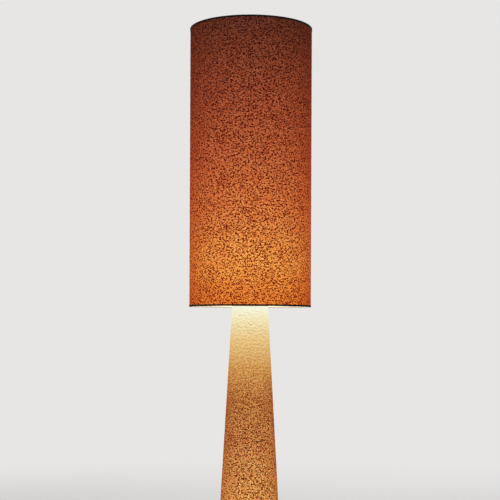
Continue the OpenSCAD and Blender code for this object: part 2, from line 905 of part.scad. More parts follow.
foot_pad();
base_plate();
base_bolt();
base_washer();
pole_socket();
pole();
pole_plug();
column_liner();
column_fabric();
column_bottom_hoop();
column_top_hoop();
column_bottom_binding();
column_top_binding();
column_lid();
cord_bush();
lamp_bridge();
bridge_screws();
terminal_block();
terminal_screws();
upper_lead();
lower_lead();
lower_nipple();
lower_lock_nuts();
at_lower_holder() holder_cap();  // lower_holder_cap
at_lower_holder() holder_insert();  // lower_holder_insert
at_lower_holder() holder_shell();  // lower_holder_shell
at_lower_holder() holder_contact();  // lower_holder_contact
at_lower_holder() holder_skirt();  // lower_holder_skirt
lower_bulb_globe();
at_lower_bulb() bulb_cap();  // lower_bulb_cap
at_lower_bulb() bulb_insulator();  // lower_bulb_insulator
at_lower_bulb() bulb_contact();  // lower_bulb_contact
upper_nipple();
upper_lock_nut();
at_upper_holder() holder_cap();  // upper_holder_cap
at_upper_holder() holder_insert();  // upper_holder_insert
at_upper_holder() holder_shell();  // upper_holder_shell
at_upper_holder() holder_contact();  // upper_holder_contact
at_upper_holder() holder_skirt();  // upper_holder_skirt
shade_ring();
upper_bulb_globe();
at_upper_bulb() bulb_cap();  // upper_bulb_cap
at_upper_bulb() bulb_insulator();  // upper_bulb_insulator
at_upper_bulb() bulb_contact();  // upper_bulb_contact
shade_carrier();
shade_top_hoop();
shade_liner();
shade_fabric();
shade_top_binding();
shade_bottom_binding();
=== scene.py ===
"""The looks of a column floor lamp: lit boucle fabric, black bindings and the lamp's inner works."""

import json
import math

import bmesh
import bpy
from mathutils import Matrix, Vector


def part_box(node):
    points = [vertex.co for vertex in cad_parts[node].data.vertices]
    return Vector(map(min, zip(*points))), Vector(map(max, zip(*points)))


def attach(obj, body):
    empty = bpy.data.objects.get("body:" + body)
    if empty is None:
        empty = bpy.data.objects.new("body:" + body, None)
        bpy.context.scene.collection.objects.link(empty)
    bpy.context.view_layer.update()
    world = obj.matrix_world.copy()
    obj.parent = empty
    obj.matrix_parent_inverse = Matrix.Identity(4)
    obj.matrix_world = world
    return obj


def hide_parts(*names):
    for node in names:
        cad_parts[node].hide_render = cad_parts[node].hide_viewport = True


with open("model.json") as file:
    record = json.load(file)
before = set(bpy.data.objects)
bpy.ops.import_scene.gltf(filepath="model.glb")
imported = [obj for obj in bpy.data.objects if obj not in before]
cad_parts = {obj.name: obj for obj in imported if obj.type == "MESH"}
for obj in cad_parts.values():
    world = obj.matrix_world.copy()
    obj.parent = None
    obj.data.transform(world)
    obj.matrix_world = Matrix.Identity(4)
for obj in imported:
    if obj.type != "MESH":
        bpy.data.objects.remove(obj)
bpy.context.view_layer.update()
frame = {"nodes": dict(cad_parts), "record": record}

# ---- Camera ----
# It stands 3.55 m in front of the lamp, a little lower than the shade's lower edge, and looks straight ahead.
# Its picture is shifted upwards, so that upright lines stay upright and the foot stays out, as in the photo.
CAMERA_DISTANCE = 3.55
CAMERA_HEIGHT = 0.745
CAMERA_ROLL = math.radians(-0.23)
PICTURE = 500  # pixels across the photograph, and down it
FOCAL_LENGTH = 1230  # in the same pixels
HORIZON_ROW = 326

camera_data = bpy.data.cameras.new("camera")
camera_data.lens = camera_data.sensor_width * FOCAL_LENGTH / PICTURE
camera_data.shift_y = (HORIZON_ROW - PICTURE / 2) / PICTURE
camera = bpy.data.objects.new("camera", camera_data)
camera.location = (0, -CAMERA_DISTANCE, CAMERA_HEIGHT)
camera.rotation_euler = (math.radians(90), CAMERA_ROLL, 0)
bpy.context.collection.objects.link(camera)
bpy.context.scene.camera = camera
bpy.context.scene.view_settings.view_transform = "Standard"

# ---- Studio ----
# A pale floor that fades into a pale background, three large soft lamps round the object and an even sky.
# A fabric or a metal in it shows about the colour that it is given.
BACKGROUND = (0.80, 0.79, 0.775, 1)
FLOOR_SPAN = 40
FLOOR_NEAR = 1.1
FLOOR_FAR = 3.4
SKY_LIGHT = 0.42
LAMP_WIDTH = 2.2
LAMPS_AIM = Vector((0, 0, 0.9))


def put(tree, kind, inputs=None, **settings):
    """Adds a node. An input that is another node's output gets a link, and any other value is set."""
    made = tree.nodes.new(kind)
    for name, value in settings.items():
        setattr(made, name, value)
    for key, value in (inputs or {}).items():
        if isinstance(key, int):
            socket = made.inputs[key]
        else:
            socket = next(s for s in made.inputs if s.name == key and s.enabled)
        if isinstance(value, bpy.types.NodeSocket):
            tree.links.new(value, socket)
        else:
            socket.default_value = value
    return made


def out(made, name=None):
    """A node's output: the first that is in use, or the one of that name."""
    return next(s for s in made.outputs if s.enabled and name in (None, s.name))


def calc(tree, operation, *values):
    """One step of arithmetic on numbers or sockets."""
    return out(put(tree, "ShaderNodeMath", dict(enumerate(values)), operation=operation))


def mixed(tree, factor, first, second):
    """A colour between two others."""
    parts = {"Factor": factor, "A": first, "B": second}
    return out(put(tree, "ShaderNodeMix", parts, data_type="RGBA"))


def new_material(name):
    """An empty node material, and its tree and output."""
    made = bpy.data.materials.new(name)
    made.use_nodes = True
    made.node_tree.nodes.clear()
    return made, made.node_tree, put(made.node_tree, "ShaderNodeOutputMaterial")


def make_floor():
    """A pale mat floor that turns into the backdrop's colour a little way off."""
    mesh = bpy.data.meshes.new("floor")
    half = FLOOR_SPAN / 2
    corners = [(-half, -half, 0), (half, -half, 0), (half, half, 0), (-half, half, 0)]
    mesh.from_pydata(corners, [], [(0, 1, 2, 3)])
    floor = bpy.data.objects.new("floor", mesh)
    bpy.context.collection.objects.link(floor)
    made, tree, output = new_material("pale_floor")
    place = out(put(tree, "ShaderNodeTexCoord"), "Object")
    away = out(put(tree, "ShaderNodeVectorMath", {0: place}, operation="LENGTH"), "Value")
    fade = out(put(tree, "ShaderNodeMapRange",
                   {"Value": away, "From Min": FLOOR_NEAR, "From Max": FLOOR_FAR},
                   interpolation_type="SMOOTHSTEP"))
    paint = out(put(tree, "ShaderNodeBsdfDiffuse", {"Color": BACKGROUND}))
    haze = out(put(tree, "ShaderNodeEmission", {"Color": BACKGROUND}))
    both = out(put(tree, "ShaderNodeMixShader", {0: fade, 1: paint, 2: haze}))
    tree.links.new(both, output.inputs["Surface"])
    mesh.materials.append(made)


def make_sky():
    """An even white sky for the light, and a pale backdrop where it is seen."""
    world = bpy.data.worlds.new("sky")
    bpy.context.scene.world = world
    world.use_nodes = True
    tree = world.node_tree
    tree.nodes.clear()
    path = put(tree, "ShaderNodeLightPath")
    seen = calc(tree, "MAXIMUM", out(path, "Is Camera Ray"), out(path, "Is Glossy Ray"))
    seen = calc(tree, "MAXIMUM", seen, out(path, "Is Transmission Ray"))
    light = out(put(tree, "ShaderNodeBackground", {"Color": (1, 1, 1, 1), "Strength": SKY_LIGHT}))
    backdrop = out(put(tree, "ShaderNodeBackground", {"Color": BACKGROUND, "Strength": 1}))
    both = out(put(tree, "ShaderNodeMixShader", {0: seen, 1: light, 2: backdrop}))
    put(tree, "ShaderNodeOutputWorld", {"Surface": both})


def set_lamp(name, place, watts):
    """A square soft lamp that is turned towards the object."""
    data = bpy.data.lights.new(name, "AREA")
    data.energy = watts
    data.size = LAMP_WIDTH
    lamp = bpy.data.objects.new(name, data)
    lamp.location = place
    lamp.rotation_euler = (LAMPS_AIM - lamp.location).to_track_quat("-Z", "Y").to_euler()
    bpy.context.collection.objects.link(lamp)


make_floor()
make_sky()
set_lamp("main_lamp", (-2.3, -2.7, 2.5), watts=62)
set_lamp("fill_lamp", (2.8, -1.6, 1.7), watts=26)
set_lamp("back_lamp", (0.6, 3.0, 2.3), watts=34)

# ---- Felt ring under the base ----
# A ring of pressed felt, 3 mm thick, glued under the base plate so that the steel doesn't scratch the floor.
# Its cut edges are rounded a little and its surface is a mat of short dark fibres.
BODY_OF = {node: body for body, nodes in frame["record"]["behaviour"]["bodies"].items() for node in nodes}
WELD = 1e-6
FLAT = math.radians(0.5)
CREASE = math.radians(32)
PATCH_SCALE = 0.06  # of the grain's own scale
PATCH_SHARE = 0.35  # of the tone, and the grain has the rest
NOISE_LOW = 0.32  # most of a noise's values lie between these two
NOISE_HIGH = 0.68


def stands_for(piece, *nodes):
    """The piece shows in place of these nodes and moves with their body."""
    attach(piece, BODY_OF[nodes[0]])
    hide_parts(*nodes)
    return piece


def add_object(name, mesh, material=None):
    """A new object at the origin, with this material alone if one is given."""
    if material:
        mesh.materials.clear()
        mesh.materials.append(material)
    made = bpy.data.objects.new(name, mesh)
    bpy.context.collection.objects.link(made)
    return made


def softened(node, edge, material, segments=2):
    """The node's own solid with its sharp edges rounded, as any real part's are."""
    work = bmesh.new()
    work.from_mesh(frame["nodes"][node].data)
    bmesh.ops.remove_doubles(work, verts=work.verts, dist=WELD)
    bmesh.ops.dissolve_limit(work, angle_limit=FLAT, verts=work.verts, edges=work.edges)
    for line in work.edges:
        line.smooth = len(line.link_faces) == 2 and line.calc_face_angle() < CREASE
    for face in work.faces:
        face.smooth = True
    mesh = bpy.data.meshes.new(node + "_finished")
    work.to_mesh(mesh)
    work.free()
    if "custom_normal" in mesh.attributes:
        mesh.attributes.remove(mesh.attributes["custom_normal"])
    piece = add_object(node + "_finished", mesh, material)
    rounding = piece.modifiers.new("rounding", "BEVEL")
    rounding.width = edge
    rounding.segments = segments
    rounding.limit_method = "ANGLE"
    rounding.angle_limit = CREASE
    rounding.harden_normals = True
    return stands_for(piece, node)


def make_grain_group():
    """Grain that many finishes share: a colour, a roughness and a height that vary over the surface."""
    tree = bpy.data.node_groups.new("grain", "ShaderNodeTree")
    for name in ("Dark", "Light"):
        tree.interface.new_socket(name, in_out="INPUT", socket_type="NodeSocketColor")
    for name in ("Scale", "Smoothest", "Roughest"):
        tree.interface.new_socket(name, in_out="INPUT", socket_type="NodeSocketFloat")
    tree.interface.new_socket("Stretch", in_out="INPUT", socket_type="NodeSocketVector")
    tree.interface.new_socket("Color", in_out="OUTPUT", socket_type="NodeSocketColor")
    tree.interface.new_socket("Roughness", in_out="OUTPUT", socket_type="NodeSocketFloat")
    tree.interface.new_socket("Height", in_out="OUTPUT", socket_type="NodeSocketFloat")
    given = put(tree, "NodeGroupInput")
    place = out(put(tree, "ShaderNodeTexCoord"), "Object")
    drawn = out(put(tree, "ShaderNodeVectorMath", {0: place, 1: out(given, "Stretch")},
                    operation="MULTIPLY"))
    grain = put(tree, "ShaderNodeTexNoise", {"Vector": drawn, "Scale": out(given, "Scale"), "Detail": 5.0})
    patch_scale = calc(tree, "MULTIPLY", out(given, "Scale"), PATCH_SCALE)
    patch = put(tree, "ShaderNodeTexNoise", {"Vector": drawn, "Scale": patch_scale, "Detail": 2.0})
    tone = calc(tree, "MULTIPLY", out(grain), 1 - PATCH_SHARE)
    tone = calc(tree, "ADD", tone, calc(tree, "MULTIPLY", out(patch), PATCH_SHARE))
    tone = out(put(tree, "ShaderNodeMapRange", {
        "Value": tone, "From Min": NOISE_LOW, "From Max": NOISE_HIGH}))
    rough = out(put(tree, "ShaderNodeMapRange", {
        "Value": tone, "To Min": out(given, "Smoothest"), "To Max": out(given, "Roughest")}))
    color = mixed(tree, tone, out(given, "Dark"), out(given, "Light"))
    put(tree, "NodeGroupOutput", {"Color": color, "Roughness": rough, "Height": out(grain)})
    return tree


GRAIN = make_grain_group()


def grained(name, dark, light, grain_mm, rough, bump_mm, stretch=(1, 1, 1), **constants):
    """A finish with grain of that size in it. The constants go on the shader's own sockets."""
    made, tree, output = new_material(name)
    grain = put(tree, "ShaderNodeGroup", {}, node_tree=GRAIN)
    values = {"Dark": (*dark, 1), "Light": (*light, 1), "Scale": 1000 / grain_mm, "Stretch": stretch,
              "Smoothest": rough[0], "Roughest": rough[1]}
    for socket, value in values.items():
        grain.inputs[socket].default_value = value
    bump = put(tree, "ShaderNodeBump", {
        "Height": out(grain, "Height"), "Distance": bump_mm / 1000, "Strength": 1.0})
    sockets = {"Base Color": out(grain, "Color"), "Roughness": out(grain, "Roughness"), "Normal": out(bump)}
    sockets.update({key.replace("_", " "): value for key, value in constants.items()})
    shader = put(tree, "ShaderNodeBsdfPrincipled", sockets)
    tree.links.new(out(shader), output.inputs["Surface"])
    return made


FELT = grained("felt", (0.010, 0.010, 0.011), (0.035, 0.034, 0.034), 1.1, (0.9, 1.0), 0.5, Sheen_Weight=0.3)
softened("foot_pad", 0.0006, FELT)

# ---- Base plate, its bolt and washer ----
# One heavy steel casting: a thin flange that the column's cover stands on and a disc inside the cover's foot.
# It is powder coated black. A zinc plated bolt and washer in its recess draw the pole down on it.
BLACK_COAT = grained("black_powder_coat", (0.012, 0.012, 0.012), (0.024, 0.024, 0.023), 0.7,
                     (0.45, 0.62), 0.06)
ZINC = grained("zinc_plate", (0.42, 0.43, 0.42), (0.66, 0.66, 0.63), 1.6, (0.24, 0.46), 0.01,
               stretch=(1, 1, 5), Metallic=1.0)
softened("base_plate", 0.0008, BLACK_COAT, segments=3)
softened("base_bolt", 0.0003, ZINC)
softened("base_washer", 0.0002, ZINC)

# ---- Pole ----
# A steel tube up the middle of the column, with a threaded socket welded in its foot and a threaded plug in
# its head. A slot near the foot lets the upper lead in.
STEEL = grained("drawn_steel", (0.40, 0.40, 0.40), (0.62, 0.61, 0.60), 1.2, (0.28, 0.5), 0.01,
                stretch=(1, 1, 0.12), Metallic=1.0)
softened("pole", 0.0002, STEEL)
softened("pole_socket", 0.0003, ZINC)
softened("pole_plug", 0.0003, ZINC)

# ---- Terminal block and leads ----
# The cord's wires meet the two leads in a white block behind the pole. One lead goes up the pole to the upper
# lampholder and the other round the pole to the lower one.
WHITE_PLASTIC = grained("white_plastic", (0.74, 0.71, 0.64), (0.82, 0.80, 0.74), 3.0, (0.28, 0.4), 0.008,
                        Subsurface_Weight=0.05)
BLACK_SHEATH = grained("black_sheath", (0.012, 0.012, 0.012), (0.03, 0.03, 0.03), 1.5, (0.35, 0.5), 0.02)
softened("terminal_block", 0.0003, WHITE_PLASTIC)
softened("terminal_screws", 0.00008, ZINC)
for lead in ("upper_lead", "lower_lead"):
    softened(lead, 0.0002, BLACK_SHEATH)

# ---- Lower lampholder ----
# A folded steel strip, screwed to the base plate, lifts the lampholder clear of it. The lampholder is a domed
# cap, a ceramic insert with a brass shell and tongue, and a threaded skirt.
CERAMIC = grained("ceramic", (0.70, 0.68, 0.64), (0.84, 0.83, 0.80), 0.8, (0.5, 0.7), 0.03)
BRASS = grained("brass", (0.55, 0.36, 0.12), (0.80, 0.58, 0.24), 1.4, (0.2, 0.38), 0.008,
                stretch=(1, 1, 5), Metallic=1.0)


def finish_holder(place):
    """The pieces that both lampholders have."""
    softened(place + "_nipple", 0.0002, BRASS)
    softened(place + "_holder_cap", 0.0003, WHITE_PLASTIC)
    softened(place + "_holder_insert", 0.0004, CERAMIC)
    softened(place + "_holder_shell", 0.00008, BRASS)
    softened(place + "_holder_contact", 0.0001, BRASS)
    softened(place + "_holder_skirt", 0.0002, WHITE_PLASTIC)


softened("lamp_bridge", 0.0003, ZINC)
softened("bridge_screws", 0.0002, ZINC)
softened("lower_lock_nuts", 0.0003, ZINC)
finish_holder("lower")

# ---- Lower bulb ----
# A small opal globe on a nickel plated screw cap, with a black glass insulator and a drop of solder at its
# tip. It lights the column's fabric from inside, and that light is painted into the fabric's glow.
NICKEL = grained("nickel_plate", (0.52, 0.50, 0.46), (0.72, 0.70, 0.66), 1.0, (0.18, 0.32), 0.008,
                 stretch=(1, 1, 4), Metallic=1.0)
BLACK_GLASS = grained("black_glass", (0.008, 0.008, 0.014), (0.02, 0.02, 0.03), 2.0, (0.08, 0.2), 0.01)
SOLDER = grained("solder", (0.45, 0.45, 0.44), (0.62, 0.62, 0.60), 1.2, (0.25, 0.45), 0.12, Metallic=1.0)
OPAL_GLOW = 1.7
SWIRL_SCALE = 60.0


def make_opal():
    """Opal glass that is lit from inside, with faint swirls of thicker glass in it."""
    made, tree, output = new_material("opal_glass")
    place = out(put(tree, "ShaderNodeTexCoord"), "Object")
    swirl = put(tree, "ShaderNodeTexNoise", {
        "Vector": place, "Scale": SWIRL_SCALE, "Detail": 2.0, "Distortion": 1.5})
    glow = mixed(tree, out(swirl), (1.0, 0.76, 0.44, 1), (1.0, 0.83, 0.55, 1))
    shader = put(tree, "ShaderNodeBsdfPrincipled", {
        "Base Color": (0.90, 0.88, 0.82, 1), "Roughness": 0.35, "Emission Color": glow,
        "Emission Strength": OPAL_GLOW})
    tree.links.new(out(shader), output.inputs["Surface"])
    return made


OPAL = make_opal()


def paint(node, material):
    """Gives the node's own solid this finish, with its shape as it is."""
    frame["nodes"][node].data.materials[0] = material


def finish_bulb(place):
    """The pieces that both bulbs have."""
    paint(place + "_bulb_globe", OPAL)
    softened(place + "_bulb_cap", 0.00005, NICKEL, segments=1)
    softened(place + "_bulb_insulator", 0.0002, BLACK_GLASS)
    softened(place + "_bulb_contact", 0.0002, SOLDER)


finish_bulb("lower")

# ---- Column's liner, hoops and lid ----
# The cover is a cone of white film with fabric glued on it, stiffened by a wire hoop at each end. A sheet
# metal lid with a lip closes it at the head and carries the upper lampholder.
WHITE_COAT = grained("white_powder_coat", (0.66, 0.64, 0.60), (0.78, 0.77, 0.73), 0.8, (0.35, 0.5), 0.04)
STREAK_SCALE = 900.0
STREAK_BUMP = 0.00002
softened("column_lid", 0.0003, WHITE_COAT)
paint("column_bottom_hoop", WHITE_COAT)
paint("column_top_hoop", WHITE_COAT)


def ramp(tree, value, stops):
    """A colour that changes with the value, through these (place, colour) stops."""
    made = put(tree, "ShaderNodeValToRGB", {0: value})
    elements = made.color_ramp.elements
    while len(elements) < len(stops):
        elements.new(0.5)
    for element, (place, color) in zip(elements, stops):
        element.position = place
        element.color = (*color, 1) if isinstance(color, tuple) else (color, color, color, 1)
    return out(made, "Color")


def height_share(tree, place, node):
    """How far up the node a place lies: 0 at its low edge and 1 at its high one."""
    low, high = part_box(node)
    height = out(put(tree, "ShaderNodeSeparateXYZ", {0: place}), "Z")
    return out(put(tree, "ShaderNodeMapRange", {"Value": height, "From Min": low.z, "From Max": high.z}))


def make_liner(name, node, glow):
    """White film that glows in the bulb's light. glow is that light, from the node's low edge to its high
    one."""
    made, tree, output = new_material(name)
    place = out(put(tree, "ShaderNodeTexCoord"), "Object")
    share = height_share(tree, place, node)
    stretch = out(put(tree, "ShaderNodeMapping", {"Vector": place, "Scale": (1, 1, 0.05)}))
    streak = out(put(tree, "ShaderNodeTexNoise", {"Vector": stretch, "Scale": STREAK_SCALE, "Detail": 3.0}))
    film = mixed(tree, streak, (0.80, 0.76, 0.66, 1), (0.88, 0.85, 0.77, 1))
    bump = put(tree, "ShaderNodeBump", {"Height": streak, "Distance": STREAK_BUMP})
    shader = put(tree, "ShaderNodeBsdfPrincipled", {
        "Base Color": film, "Roughness": 0.6, "Normal": out(bump), "Emission Color": ramp(tree, share, glow),
        "Emission Strength": 1.0})
    tree.links.new(out(shader), output.inputs["Surface"])
    return made


COLUMN_FILM = make_liner(
    "column_film", "column_liner",
    glow=[(0.0, (0.30, 0.19, 0.09)), (0.25, (0.42, 0.28, 0.14)), (1.0, (0.12, 0.06, 0.02))])
paint("column_liner", COLUMN_FILM)

# ---- Fabric ----
# A slubby boucle in rust and tan, glued round the column and the shade, its end lapped over its start at the
# back. Thick slubs block the light from inside and show dark, and the loose ground between them glows.
SLUB_LENGTH = 0.011
SLUB_WIDTH = 0.0045
SLUB_HEIGHT = 0.0008
SLUB_LIFT = 1.6  # a noise's share above its middle, brought up to about 1
STANDING_SHARE = 0.6  # of a lying slub's height
CLOTH = 0.0018
CELL = 0.0033
LAP_WIDTH = 0.014
LAP_RISE = 0.0007
NEAR = 1e-4  # points closer than this in height lie on the same edge
UNDER_REACH = 1.05  # laps, from the cloth's start, that lie under its end
UNDER_PRESS = 0.85  # how much of the slubs is pressed flat there
OVER_REACH = 1.4  # laps, from the cloth's end, over which it rises and thins
OVER_THIN = 0.75


def make_wrap_tree():
    """Cloth wrapped round the lamp's axis as one closed sheet, with slubs on its outer face."""
    tree = bpy.data.node_groups.new("wrapped_cloth", "GeometryNodeTree")
    lengths = ("Bottom Radius", "Top Radius", "Bottom Height", "Top Height", "Seam Angle", "Lap Width",
               "Lap Rise", "Cloth", "Cell", "Slub Length", "Slub Width", "Slub Height", "Seed")
    tree.interface.new_socket("Geometry", in_out="INPUT", socket_type="NodeSocketGeometry")
    for name in lengths:
        tree.interface.new_socket(name, in_out="INPUT", socket_type="NodeSocketFloat")
    tree.interface.new_socket("Material", in_out="INPUT", socket_type="NodeSocketMaterial")
    tree.interface.new_socket("Geometry", in_out="OUTPUT", socket_type="NodeSocketGeometry")
    given = put(tree, "NodeGroupInput")
    size = {name: out(given, name) for name in lengths}

    tall = calc(tree, "SUBTRACT", size["Top Height"], size["Bottom Height"])
    lap_angle = calc(tree, "DIVIDE", size["Lap Width"], size["Bottom Radius"])
    sweep = calc(tree, "ADD", 2 * math.pi, lap_angle)
    wide = calc(tree, "MULTIPLY", sweep, size["Bottom Radius"])
    columns = calc(tree, "CEIL", calc(tree, "DIVIDE", wide, size["Cell"]))
    rows = calc(tree, "CEIL", calc(tree, "DIVIDE", tall, size["Cell"]))

    # Rows run up the outer face, then one row at each end of the inner face, then back to the first.
    grid = put(tree, "GeometryNodeMeshGrid", {"Size X": 1.0, "Size Y": 1.0, "Vertices X": columns,
                                              "Vertices Y": calc(tree, "ADD", rows, 4)})
    spot = put(tree, "ShaderNodeSeparateXYZ", {0: out(put(tree, "GeometryNodeInputPosition"))})
    across = calc(tree, "ADD", out(spot, "X"), 0.5)
    steps = calc(tree, "ADD", rows, 3)
    row = calc(tree, "ROUND", calc(tree, "MULTIPLY", calc(tree, "ADD", out(spot, "Y"), 0.5), steps))
    past_top = calc(tree, "GREATER_THAN", row, calc(tree, "ADD", rows, 0.5))
    back_down = calc(tree, "GREATER_THAN", row, calc(tree, "ADD", rows, 1.5))
    closing = calc(tree, "GREATER_THAN", row, calc(tree, "ADD", rows, 2.5))
    inner = calc(tree, "SUBTRACT", past_top, closing)
    up = calc(tree, "MINIMUM", calc(tree, "DIVIDE", row, rows), 1.0)
    up = calc(tree, "MULTIPLY", up, calc(tree, "SUBTRACT", 1.0, back_down))

    # The slubs: one noise drawn out along the cloth and one up it, faded where the cloth lies under its lap.
    along = calc(tree, "MULTIPLY", across, wide)
    above = calc(tree, "MULTIPLY", up, tall)

    def slubs(first, second, shift):
        point = put(tree, "ShaderNodeCombineXYZ", {
            0: calc(tree, "DIVIDE", along, first), 1: calc(tree, "DIVIDE", above, second),
            2: calc(tree, "ADD", size["Seed"], shift)})
        noise = put(tree, "ShaderNodeTexNoise", {"Vector": out(point), "Scale": 1.0, "Detail": 2.0})
        return calc(tree, "SUBTRACT", out(noise), 0.5)

    lying = slubs(size["Slub Length"], size["Slub Width"], 0.0)
    standing = slubs(size["Slub Width"], size["Slub Length"], 7.0)
    relief = calc(tree, "ADD", lying, calc(tree, "MULTIPLY", standing, STANDING_SHARE))
    relief = calc(tree, "MULTIPLY", calc(tree, "MULTIPLY", relief, SLUB_LIFT), size["Slub Height"])
    relief = calc(tree, "MULTIPLY", relief, calc(tree, "SUBTRACT", 1.0, inner))

    lap_share = calc(tree, "DIVIDE", lap_angle, sweep)
    under = calc(tree, "LESS_THAN", across, calc(tree, "MULTIPLY", lap_share, UNDER_REACH))
    pressed = calc(tree, "SUBTRACT", 1.0, calc(tree, "MULTIPLY", under, UNDER_PRESS))
    relief = calc(tree, "MULTIPLY", relief, pressed)
    rise_start = calc(tree, "SUBTRACT", 1.0, calc(tree, "MULTIPLY", lap_share, OVER_REACH))
    over = out(put(tree, "ShaderNodeMapRange", {
        "Value": across, "From Min": rise_start, "From Max": calc(tree, "SUBTRACT", 1.0, lap_share)},
        interpolation_type="SMOOTHSTEP"))

    thinned = calc(tree, "SUBTRACT", 1.0, calc(tree, "MULTIPLY", over, OVER_THIN))
    wall = calc(tree, "MULTIPLY", size["Cloth"], thinned)
    taper = calc(tree, "MULTIPLY", up, calc(tree, "SUBTRACT", size["Top Radius"], size["Bottom Radius"]))
    radius = calc(tree, "ADD", size["Bottom Radius"], taper)
    radius = calc(tree, "ADD", radius, calc(tree, "MULTIPLY", over, size["Lap Rise"]))
    radius = calc(tree, "ADD", radius, relief)
    radius = calc(tree, "SUBTRACT", radius, calc(tree, "MULTIPLY", inner, wall))
    start = calc(tree, "SUBTRACT", size["Seam Angle"], calc(tree, "MULTIPLY", lap_angle, 0.5))
    angle = calc(tree, "ADD", start, calc(tree, "MULTIPLY", across, sweep))
    shape = put(tree, "ShaderNodeCombineXYZ", {
        0: calc(tree, "MULTIPLY", radius, calc(tree, "COSINE", angle)),
        1: calc(tree, "MULTIPLY", radius, calc(tree, "SINE", angle)),
        2: calc(tree, "ADD", size["Bottom Height"], above)})

    flat = put(tree, "ShaderNodeCombineXYZ", {0: along, 1: above})
    mapped = put(tree, "GeometryNodeStoreNamedAttribute",
                 {"Geometry": out(grid, "Mesh"), "Name": "UVMap", "Value": out(flat)},
                 data_type="FLOAT2", domain="CORNER")
    placed = put(tree, "GeometryNodeSetPosition", {"Geometry": out(mapped), "Position": out(shape)})
    joined = put(tree, "GeometryNodeMergeByDistance", {"Geometry": out(placed), "Distance": WELD})
    smooth = put(tree, "GeometryNodeSetShadeSmooth", {"Geometry": out(joined)})
    real = put(tree, "GeometryNodeRealizeInstances", {"Geometry": out(smooth)})
    done = put(tree, "GeometryNodeSetMaterial", {"Geometry": out(real), "Material": out(given, "Material")})
    put(tree, "NodeGroupOutput", {"Geometry": out(done)})
    return tree


WRAPPED_CLOTH = make_wrap_tree()


def grown(name, start, tree, material, **sizes):
    """Runs a geometry tree on a mesh with these inputs and returns what it makes as a plain mesh object."""
    piece = add_object(name, start)
    maker = piece.modifiers.new("maker", "NODES")
    maker.node_group = tree
    sizes = {key.replace("_", " "): value for key, value in sizes.items()}
    sizes["Material"] = material
    for item in tree.interface.items_tree:
        if item.in_out == "INPUT" and item.name in sizes:
            maker[item.identifier] = sizes[item.name]
    bpy.context.view_layer.update()
    ready = piece.evaluated_get(bpy.context.evaluated_depsgraph_get())
    mesh = bpy.data.meshes.new_from_object(ready)
    mesh.name = name
    piece.modifiers.remove(maker)
    piece.data = mesh
    bpy.data.meshes.remove(start)
    return piece


def close(piece):
    """Fills the piece's open ends, if it has any, and turns every face outwards."""
    work = bmesh.new()
    work.from_mesh(piece.data)
    rim = [line for line in work.edges if line.is_boundary]
    if rim:
        bmesh.ops.holes_fill(work, edges=rim)
    bmesh.ops.recalc_face_normals(work, faces=work.faces)
    work.to_mesh(piece.data)
    work.free()


DASH_CELL = 0.0068  # each cell of about this width has one dash at most
DASH_AMOUNT = 0.62  # the share of the cells that have one
SMALL_DASH = 0.74  # the smaller dashes' cell, as a share of that
DASH_SLIMNESS = (1.75, 3.8, 0)  # cells in half a dash's length, and in half its thickness
LYING_SHARE = 0.7
SWAY = 1.3  # radians between the dashes that slope most either way
CORE_RIM = (1.05, 0.75)  # a dash's soft rim, from outside to inside
HALO_RIM = (1.9, 1.2)
CROOK = (0.0067, 0.005)  # the length and the reach of the waves that bend the dashes
RIPPLE = (0.022, 0.012)  # and of those that bend the ridges
FINE_CELL = 0.0044
FINE_STRETCH = (0.8, 1.25, 0)
BROAD_SCALE = (24, 30, 0)  # patches to the metre, along the cloth and up it
RIDGE_SCALE = (75, 215, 0)  # ridges to the metre
RIDGE_STEP = 0.0014
RIDGE_SHARPNESS = 1.5
DASH_THICKNESS = 5.8  # each part of the pattern in thicknesses of yarn
HALO_THINNESS = 0.6
FINE_THICKNESS = 5.2
BROAD_THICKNESS = 1.1
LOOSENESS = 0.8


